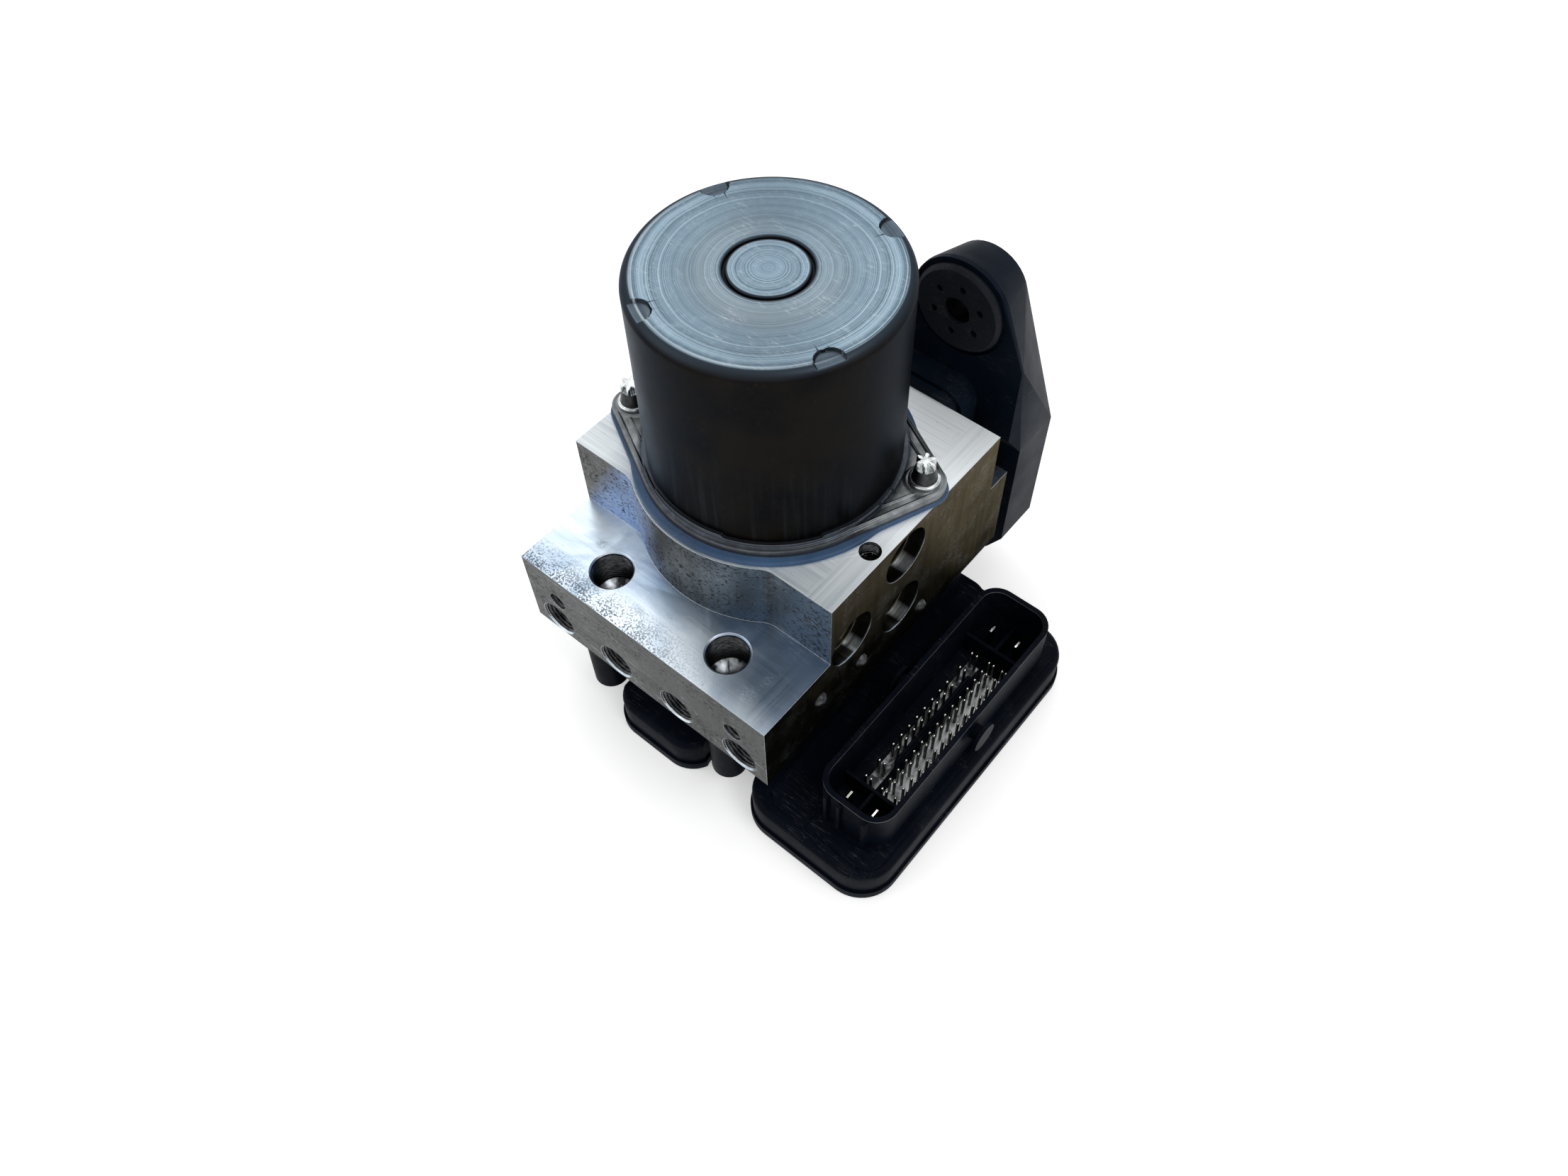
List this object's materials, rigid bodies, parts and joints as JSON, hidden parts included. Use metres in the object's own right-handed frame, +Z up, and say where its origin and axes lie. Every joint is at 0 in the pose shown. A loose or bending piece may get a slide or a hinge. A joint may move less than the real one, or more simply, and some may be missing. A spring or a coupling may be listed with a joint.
{
  "type": "anti-lock brake control unit",
  "caption": "Anti-lock brake control unit: round pump motor on a drilled aluminium valve block, with a control box and open connector below and a bushed bracket behind.",
  "frame": {"origin": "on the bottom face of the control box, under the motor axis", "axes": "+Z up along the motor axis, -Y out of the face with the wheel ports, +X towards the wiring connector"},
  "size_m": [0.1386, 0.1431, 0.1572],
  "materials": {
    "block_aluminium": "milled",
    "plug_steel": "turned",
    "piston_steel": "ground",
    "spring_steel": "drawn",
    "can_steel": "satin, turned top",
    "seal_rubber": "matte",
    "zinc_bolt": "bright zinc",
    "magnet": "sintered",
    "turned_steel": "ground",
    "core_steel": "laminated",
    "copper": "bright",
    "brown_insulator": "moulded",
    "carbon": "pressed",
    "valve_steel": "turned",
    "coil_wrap": "moulded",
    "black_plastic": "fine moulded grain",
    "cover_plastic": "moulded",
    "board_green": "lacquered",
    "chip_black": "moulded",
    "pin_silver": "tin plated",
    "mat_grey": "matte",
    "bracket_black": "satin black coat",
    "bush_rubber": "dusty matte",
    "sleeve_steel": "dull"
  },
  "bodies": {
    "housing": {"valve_block": "block_aluminium", "ball_plugs": "plug_steel", "pump_plugs": "plug_steel", "accumulator_caps": "plug_steel", "accumulator_spring_right": "spring_steel", "accumulator_spring_left": "spring_steel", "pump_spring_upper_right": "spring_steel", "pump_spring_upper_left": "spring_steel", "pump_spring_lower_right": "spring_steel", "pump_spring_lower_left": "spring_steel", "brush_springs": "spring_steel", "motor_can": "can_steel", "motor_flange": "can_steel", "motor_seal": "seal_rubber", "box_gasket": "seal_rubber", "motor_bolts": "zinc_bolt", "box_screws": "zinc_bolt", "bracket_bolts": "zinc_bolt", "field_magnets": "magnet", "upper_bearing": "turned_steel", "lower_bearing": "turned_steel", "end_bearing": "turned_steel", "brush_plate": "brown_insulator", "carbon_brushes": "carbon", "inlet_valves": "valve_steel", "outlet_valves": "valve_steel", "circuit_valves": "valve_steel", "pressure_sensor": "valve_steel", "valve_coils": "coil_wrap", "box_housing": "black_plastic", "pin_carrier": "black_plastic", "motor_contact": "black_plastic", "box_cover": "cover_plastic", "circuit_board": "board_green", "board_parts": "chip_black", "signal_pins": "pin_silver", "power_blades": "pin_silver", "pin_mats": "mat_grey", "bracket": "bracket_black", "bush_right": "bush_rubber", "bush_left": "bush_rubber", "bush_sleeves": "sleeve_steel"},
    "rotor": {"motor_shaft": "turned_steel", "eccentric_rings": "turned_steel", "armature_core": "core_steel", "armature_windings": "copper", "commutator": "copper"},
    "pump_piston_upper_right": {"pump_piston_upper_right": "piston_steel"},
    "pump_piston_lower_right": {"pump_piston_lower_right": "piston_steel"},
    "accumulator_piston_right": {"accumulator_piston_right": "piston_steel"},
    "pump_piston_upper_left": {"pump_piston_upper_left": "piston_steel"},
    "pump_piston_lower_left": {"pump_piston_lower_left": "piston_steel"},
    "accumulator_piston_left": {"accumulator_piston_left": "piston_steel"}
  },
  "joints": [
    {"name": "motor_spin", "type": "hinge", "parent": "housing", "child": "rotor", "pos_m": [0, 0, 0.1], "axis": [0, 0, 1], "continuous": true},
    {"name": "upper_right_piston_slide", "type": "slide", "parent": "housing", "child": "pump_piston_upper_right", "axis": [-1, 0, 0], "range_m": [0, 0.003], "stiffness_N_per_m": 300, "deforming": ["pump_spring_upper_right"]},
    {"name": "lower_right_piston_slide", "type": "slide", "parent": "housing", "child": "pump_piston_lower_right", "axis": [-1, 0, 0], "range_m": [0, 0.003], "stiffness_N_per_m": 300, "deforming": ["pump_spring_lower_right"]},
    {"name": "accumulator_right_slide", "type": "slide", "parent": "housing", "child": "accumulator_piston_right", "axis": [1, 0, 0], "range_m": [0, 0.007], "stiffness_N_per_m": 400, "deforming": ["accumulator_spring_right"]},
    {"name": "upper_left_piston_slide", "type": "slide", "parent": "housing", "child": "pump_piston_upper_left", "axis": [1, 0, 0], "range_m": [0, 0.003], "stiffness_N_per_m": 300, "deforming": ["pump_spring_upper_left"]},
    {"name": "lower_left_piston_slide", "type": "slide", "parent": "housing", "child": "pump_piston_lower_left", "axis": [1, 0, 0], "range_m": [0, 0.003], "stiffness_N_per_m": 300, "deforming": ["pump_spring_lower_left"]},
    {"name": "accumulator_left_slide", "type": "slide", "parent": "housing", "child": "accumulator_piston_left", "axis": [-1, 0, 0], "range_m": [0, 0.007], "stiffness_N_per_m": 400, "deforming": ["accumulator_spring_left"]}
  ]
}
